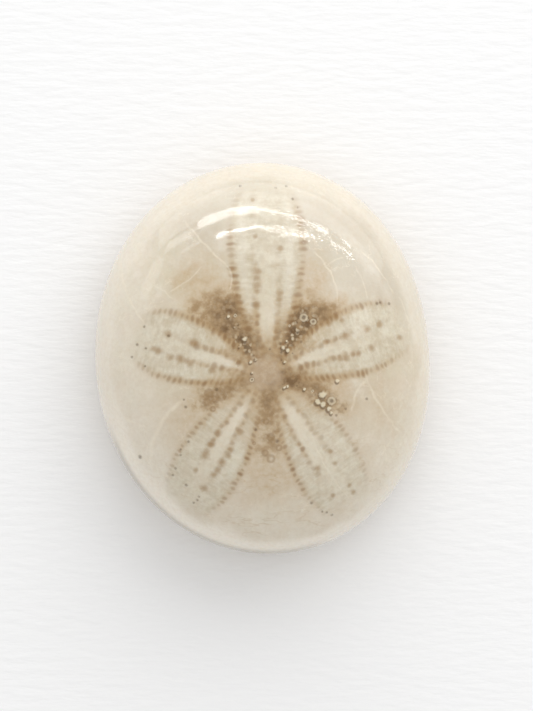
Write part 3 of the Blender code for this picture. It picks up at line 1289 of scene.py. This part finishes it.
    def lay_petals(self, stain: Field) -> None:
        """Clouds the petals, with faint bars from each outer pore to the inner row.

        Args:
            stain: the stain's mask.
        """
        graph, tones, inside, front = self.graph, self.tones, self.inside, self.front
        share, outer, inner = self.petal.share, self.petal.outer, self.petal.inner
        zone = inside * (1 - self.wedge)
        self.lay(zone * share.ramp(0.62, 0.15) * 0.42 * (1 - stain), tones.stain_light)
        self.lay(zone * front * share.ramp(0.42, 0.2) * 0.36 * (1 - stain), tones.stain_light)
        based = inside * share.ramp(0.2, 0.55)
        self.lay(based * (self.flank * 0.1 + front * 0.12 + 0.34), tones.petal_base)
        mist = self.cloud(0.75, 0.36, 0.64, 4, 0.65) * 0.72 + 0.12
        pale = inside * share.ramp(0.08, 0.5) * mist * (1 - (stain * 1.5).least(1)) * (1 - front * 0.2)
        self.lay(pale, tones.petal_pale)
        self.lay(inside * self.cloud(1.3, 0.44, 0.68, 3, 0.6) * 0.3, tones.petal_base)
        thread = graph.vector(outer.phase * 1.9, outer.distance * 0.42, self.petal.seed * 3.1)
        threads = graph.noise(thread, 1, 2, 0.6)
        woven = zone * share.ramp(0.12, 0.4)
        self.lay(woven * threads.ramp(0.5, 0.66) * 0.2, tones.petal_white)
        self.lay(woven * threads.ramp(0.5, 0.34) * 0.13, tones.petal_grey)
        bars = 0.5 - (outer.phase * (2 * math.pi) + self.noise(1.1) * 2.4).cos() * 0.5
        barred = self.cloud(0.45, 0.4, 0.6) * outer.distance.ramp(-2.4, -0.6)
        self.lay(zone * bars * barred * outer.strength * 0.22, tones.petal_grey)
        stripe = abs(outer.distance + inner.distance).ramp(1.6, 0.2) * zone * front * share.ramp(0.25, 0.5)
        self.lay(stripe * 0.26, tones.petal_white)
        tip = share.ramp(0.6, 0.16) * share.ramp(0.1, 0.34)
        bright = (tip * 0.42 + 0.16 + self.back * 0.28) * (1 - front * share.ramp(0.42, 0.16) * 0.32)
        self.lay(self.wedge * bright, tones.petal_wedge)

    def lay_pores(self, stain: Field) -> None:
        """Draws the rows of pores, each over a soft brown band. Near the roots the inner rows run on.

        Args:
            stain: the stain's mask.
        """
        graph, flank, back = self.graph, self.flank, self.back
        share, seed, outer, inner = self.petal.share, self.petal.seed, self.petal.outer, self.petal.inner
        outer_run = graph.noise(graph.vector(outer.phase * 0.35, seed * 7), 1, 1)
        outer_seen = outer_run.ramp(0.3, 0.6) * (0.65 - flank * 0.3) + 0.35 + flank * 0.3
        outer_seen = outer_seen * outer.strength * (1 - back * share.ramp(0.5, 0.2) * 0.65)
        across = outer.distance * (1 + (1 - self.front) * 0.22 + back * 0.22)
        outer_pores = OUTER_PORE.mask(replace(outer, distance=across), seed)
        inner_run = graph.noise(graph.vector(inner.phase * 0.33, seed * 7 + 3), 1, 1)
        run_on = share.ramp(flank * 0.13 + back * 0.23 + 0.52, flank * 0.2 + back * 0.22 + 0.28)
        inner_seen = (inner_run.ramp(0.42, 0.62) * 0.4 + 0.06 + run_on * 0.6) * inner.strength
        inner_pores = INNER_PORE.mask(inner, seed + INNER_SEED)
        ends = share.ramp(0.06, 0.14) * share.ramp(1, 0.85) * (share.ramp(0.96, 0.66) * 0.5 + 0.5) * self.dome
        near = share.ramp(0.9, 0.25)
        outer_glow = abs(outer.distance / 0.8).ramp(1, 0) * (1 + flank * 0.45) * outer_seen
        inner_glow = abs(inner.distance / 0.6).ramp(1, 0) * inner_seen
        glow = (outer_glow * (near * 0.42 + 0.33)).most(inner_glow * (near * 0.5 + 0.2))
        self.lay(glow * ends * (1 - stain * 0.8), self.tones.glow)
        pores = (outer_pores * outer_seen).most(inner_pores * inner_seen) * ends * (near * 0.25 + 0.7)
        self.lay(pores * 0.8, self.tones.pore)

    def lay_marks(self) -> None:
        """Draws the tubercles, the specks and the blots."""
        tones, uneven = self.tones, self.noise(1.9) * 0.9 - 0.45
        ring, drop, halo, speck, blob, shade = (
            self.attribute(name) + uneven * share for name, share in MARK_WAVER.items()
        )
        layers = (
            (blob, 1.75, 0.15, 0.56, tones.blot),
            (speck, 1.3, 0.3, 0.58, tones.mark_dark),
            (shade, 1.45, 0.9, 0.62, tones.mark_dark),
            (drop, 1.15, 0.5, 0.8, tones.mark_pale),
            (ring, 1.5, 1.05, 0.25, tones.mark_dark),
            (ring, 1.15, 0.85, 0.46, tones.mark_pale),
            (ring, 0.7, 0.3, 0.66, tones.mark_dark),
        )
        for mark, edge, core, strength, tone in layers:
            self.lay(mark.ramp(edge, core) * strength, tone)
        self.lay(halo.ramp(1.3, 0.9) * halo.ramp(0.2, 0.75) * 0.42, tones.halo)

    def lay_underside(self) -> None:
        """Colours the dull granular underside, dark in its grooves, its mouth and its vent."""
        inputs = {"Vector": self.place, "Scale": 1 / self.form.grain_size}
        grain = self.graph.node("ShaderNodeTexVoronoi", inputs).outputs["Distance"]
        bumps = Field(self.graph, grain).ramp(0.2, 0.6)
        self.lay(self.under * (bumps * 0.3 + 0.5), self.tones.under)
        mouth = self.z.ramp(1.6, 2.8) * self.away_from(self.form.mouth_centre).ramp(3.4, 2.4)
        deep = (self.attribute("groove") * 0.6).most(self.attribute("vent") * 0.8).most(mouth)
        self.lay(deep * (1 - self.dome), self.tones.under_dark)

    def polish(self) -> None:
        """Sets how rough the stone is, and its fine ripples: smooth on one side, pitted on the other."""
        x, y = self.x, self.y
        roughness = self.under * (self.cloud(0.6, 0.35, 0.7, 3) * 0.2 + 0.35) + 0.06
        pitted = (x + self.noise(0.4) * 4).ramp(1, 4)
        beaded = x.ramp(0, 1.2) * (x + (y - 14.6) * 1.3).ramp(7, 5.6)
        ripple = self.noise(3.4, 1) * pitted * 0.0045 + self.noise(1.2) * 0.002
        ripple = ripple + self.noise(3.2, 1) * beaded * 0.011 + self.noise(0.3, 1) * 0.03
        height = ripple * (self.z.ramp(6.6, 9.6) * 0.9 + 0.1) * MM
        bump = self.graph.node("ShaderNodeBump", {"Height": height, "Strength": 1, "Distance": 1})
        self.graph.feed(self.shader.inputs["Roughness"], roughness + (1 - pitted) * 0.015)
        self.graph.feed(self.shader.inputs["Normal"], bump.outputs[0])

    def build(self) -> Material:
        """Lays every colour in order, and finishes the material.

        Returns:
            The material.
        """
        self.lay_body()
        self.lay_margin()
        stain = self.lay_stains()
        self.lay_petals(stain)
        self.lay_pores(stain)
        self.lay(self.cracks() * self.dome * 0.55, self.tones.crack)
        self.lay_marks()
        self.lay(self.cloud(2.2, 0.35, 0.75, 3, 0.7) * 0.14, self.tones.stain_light)
        self.lay_underside()
        self.polish()
        self.graph.feed(self.shader.inputs["Base Color"], self.colour)
        self.shader.inputs["IOR"].default_value = 1.52
        self.shader.inputs["Subsurface Weight"].default_value = 0.22
        self.shader.inputs["Subsurface Radius"].default_value = (1.0, 0.72, 0.48)
        self.shader.inputs["Subsurface Scale"].default_value = 0.0009
        return self.material


# The stone as a piece


def read_points(mesh: Mesh) -> np.ndarray:
    """The places of a mesh's points, one a row.

    Args:
        mesh: the mesh.

    Returns:
        The places, in metres.
    """
    points = np.empty(len(mesh.vertices) * 3, np.float32)
    mesh.vertices.foreach_get("co", points)
    return points.reshape(-1, 3).astype(float)


def write_points(mesh: Mesh, points: np.ndarray) -> None:
    """Puts a mesh's points in their places."""
    mesh.vertices.foreach_set("co", points.astype(np.float32).reshape(-1))
    mesh.update()


@dataclass
class Stone:
    """The whole fossil.

    Args:
        form: its sizes.
        petals: its five petals.
        far: the distance, in radii, that stands for no mark near by.
        mark_sink: how deep the dark middle of a ringed tubercle is, in mm.
        drop_rise: how far a pale drop stands up, in mm.
        shade_shift: how far the shade under a drop lies off it, in mm.
    """

    form: StoneForm
    petals: Sequence[Petal]
    far: float = 4.0
    mark_sink: float = 0.03
    drop_rise: float = 0.02
    shade_shift: Place = (-0.10, -0.16)

    def nearest(self, points: np.ndarray, marks: Sequence[Mark], shift: Place = (0.0, 0.0)) -> np.ndarray:
        """Measures from each point of the dome to the nearest of some marks.

        Args:
            points: the points, in mm, one a row.
            marks: the marks.
            shift: how far the marks are taken to lie off their own places.

        Returns:
            The distances, in the marks' radii.
        """
        least = np.full(len(points), self.far)
        for mark in marks:
            away = np.hypot(points[:, 0] - mark.place[0] - shift[0], points[:, 1] - mark.place[1] - shift[1])
            least = np.minimum(least, away / mark.radius)
        return np.where(points[:, 2] > self.form.widest_height, least, self.far)

    def write_marks(self, mesh: Mesh) -> None:
        """Writes each point's distance to the nearest mark of each style, and sinks or raises it there.

        Args:
            mesh: the stone's mesh.
        """
        points = read_points(mesh) / MM
        by_style = {style: [mark for mark in all_marks() if mark.style is style] for style in MarkStyle}
        values = {style.value: self.nearest(points, marks) for style, marks in by_style.items()}
        values[DROP_SHADE] = self.nearest(points, by_style[MarkStyle.DROP], self.shade_shift)
        for name, nearest in values.items():
            mesh.attributes.new(name, "FLOAT", "POINT").data.foreach_set("value", nearest.astype(np.float32))
        for style in (MarkStyle.RING, MarkStyle.SPECK):
            points[:, 2] -= self.mark_sink * np.clip(1.2 - 2.0 * values[style.value], 0.0, 1.0)
        points[:, 2] += self.drop_rise * np.clip(1.2 - values[MarkStyle.DROP.value], 0.0, 1.0)
        write_points(mesh, points * MM)

    def centre(self, mesh: Mesh) -> None:
        """Moves the mesh so that its box lies over the CAD node's, as the solid's own is centred.

        Args:
            mesh: the stone's mesh.
        """
        low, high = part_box(CAD_NODE)
        points = read_points(mesh)
        middle = (points.min(axis=0) + points.max(axis=0)) / 2
        points[:, :2] += np.array((low + high) / 2)[:2] - middle[:2]
        write_points(mesh, points)

    def build(self) -> Object:
        """Makes the piece and puts it in place of its CAD node.

        Returns:
            The piece.
        """
        material = StoneLook(self.form, StoneFinish()).build()
        piece = mesh_from_tree("urchin_stone", StoneTree(self.form, self.petals), material)
        self.write_marks(piece.data)
        self.centre(piece.data)
        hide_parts(CAD_NODE)
        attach(piece, BODY)
        return piece


# The room: paper, light and camera


@dataclass(frozen=True)
class Panel:
    """A flat lamp that faces the stone.

    Args:
        name: the lamp's name.
        distance: from the stone, in metres.
        tilt: the angle down from straight overhead, in degrees.
        azimuth: the direction that it hangs in, in degrees from +X.
        size: its width and height, in metres.
        radiance: how bright it looks.
        roll: how far it is turned in its own plane, in degrees.
        lights: whether it also lights the stone, besides being mirrored in it.
    """

    name: str
    distance: float
    tilt: float
    azimuth: float
    size: Place
    radiance: float
    roll: float = 0.0
    lights: bool = False

    def hang(self) -> None:
        """Makes the lamp."""
        data = bpy.data.lights.new(self.name, "AREA")
        data.shape = "RECTANGLE"
        data.size, data.size_y = self.size
        data.energy = self.radiance * self.size[0] * self.size[1] * math.pi
        lamp = add_object(self.name, data)
        (down, out), (cos, sin) = heading(self.tilt), heading(self.azimuth)
        lamp.location = Vector((out * cos, out * sin, down)) * self.distance
        turn = Quaternion((0.0, 0.0, 1.0), math.radians(self.roll))
        lamp.rotation_euler = (lamp.location.to_track_quat("Z", "Y") @ turn).to_euler()
        lamp.visible_camera = False
        lamp.visible_diffuse = self.lights


PANELS = (
    Panel("window_low_left", 0.586, 58.6, 106, (0.254, 0.059), 8, -5.3),
    Panel("window_low_middle", 0.596, 56.7, 83.6, (0.146, 0.014), 14, -11.2),
    Panel("window_low_right", 0.595, 56.6, 66.9, (0.154, 0.021), 14, 9.8),
    Panel("window_high_left", 0.595, 46.5, 103.4, (0.157, 0.013), 24, -2.5),
    Panel("window_high_middle", 0.597, 45.7, 84.6, (0.129, 0.008), 30, -4),
    Panel("window_high_right", 0.595, 48.5, 67.8, (0.147, 0.006), 60, 28.2),
    Panel("window_pane", 0.584, 52.6, 94, (0.3, 0.08), 0.8),
    Panel("streak_right_inner", 0.597, 55.9, 49.5, (0.119, 0.014), 14, 26),
    Panel("streak_right_outer", 0.599, 61.6, 49, (0.056, 0.012), 13, -2.1),
    Panel("streak_right_far", 0.583, 67.2, 31, (0.281, 0.06), 1.2, 28.7),
    Panel("streak_left_outer", 0.595, 60.9, 129.4, (0.153, 0.05), 2.6, -29.7),
    Panel("streak_left_inner", 0.598, 50.8, 127.3, (0.092, 0.018), 2.2, -19.3),
    Panel("streak_left_far", 0.596, 61.2, 148.5, (0.145, 0.09), 1.2, 7.8),
    Panel("bright_wall", 0.8, 72, 84, (2.0, 0.4), 1.6, lights=True),
    Panel("sky_right", 0.9, 50, 65, (1.2, 0.7), 1.2, lights=True),
)


@dataclass
class Studio:
    """White paper, a pale even room and a few lamps. Lengths are in metres, and the lens in mm."""

    paper_size: float = 1.2
    paper_white: float = 0.90
    tooth_scale: Place = (330.0, 1300.0)
    room_strength: float = 0.77
    camera_place: tuple[float, float, float] = (0.00046, 0.00029, 0.31)
    lens: float = 133.8
    sensor_width: float = 36.0

    def lay_paper(self) -> None:
        """Lays the paper that the stone rests on."""
        mesh = bpy.data.meshes.new("paper")
        half = self.paper_size / 2
        corners = [(-half, -half, 0.0), (half, -half, 0.0), (half, half, 0.0), (-half, half, 0.0)]
        mesh.from_pydata(corners, [], [(0, 1, 2, 3)])
        mesh.materials.append(self.paper_material())
        paper = add_object("paper", mesh)

    def paper_material(self) -> Material:
        """Makes the paper's finish: white, with a faint tooth.

        Returns:
            The material.
        """
        material, graph, shader = new_material("white_paper")
        place = graph.node("ShaderNodeTexCoord").outputs["Object"]
        tooth = graph.noise(graph.vector_math("MULTIPLY", place, (*self.tooth_scale, 1.0)), 1, 3)
        shader.inputs["Base Color"].default_value = (*(self.paper_white,) * 3, 1.0)
        shader.inputs["Roughness"].default_value = 0.85
        bump = graph.node("ShaderNodeBump", {"Height": tooth, "Strength": 0.30, "Distance": 0.0003})
        graph.feed(shader.inputs["Normal"], bump.outputs[0])
        return material

    def light_room(self) -> None:
        """Lights the room evenly and hangs the lamps."""
        world = bpy.data.worlds.new("pale_room")
        world.use_nodes = True
        background = world.node_tree.nodes["Background"]
        background.inputs["Color"].default_value = (1.0, 1.0, 1.0, 1.0)
        background.inputs["Strength"].default_value = self.room_strength
        bpy.context.scene.world = world
        for panel in PANELS:
            panel.hang()

    def place_camera(self) -> None:
        """Looks straight down on the stone, with the front of the animal up."""
        data = bpy.data.cameras.new("camera")
        data.sensor_width = self.sensor_width
        data.lens = self.lens
        camera = add_object("camera", data)
        camera.location = self.camera_place
        bpy.context.scene.camera = camera
        bpy.context.scene.view_settings.view_transform = "Standard"

    def build(self) -> None:
        """Sets up the whole room."""
        self.lay_paper()
        self.light_room()
        self.place_camera()


# Putting it together


def clear_startup_scene() -> None:
    """Removes the cube, lamp and camera that Blender starts with."""
    for name in ("Cube", "Light", "Camera"):
        if name in bpy.data.objects:
            bpy.data.objects.remove(bpy.data.objects[name], do_unlink=True)


def main() -> None:
    """Builds the stone and its room."""
    logging.basicConfig(level=logging.INFO, format="%(name)s: %(message)s")
    clear_startup_scene()
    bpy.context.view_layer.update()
    stone = Stone(StoneForm(), PETALS)
    piece = stone.build()
    LOG.info("%s: %d faces", piece.name, len(piece.data.polygons))
    Studio().build()
    LOG.info("paper, %d lamps and the camera are in place", len(PANELS))


if __name__ == "__main__":
    main()
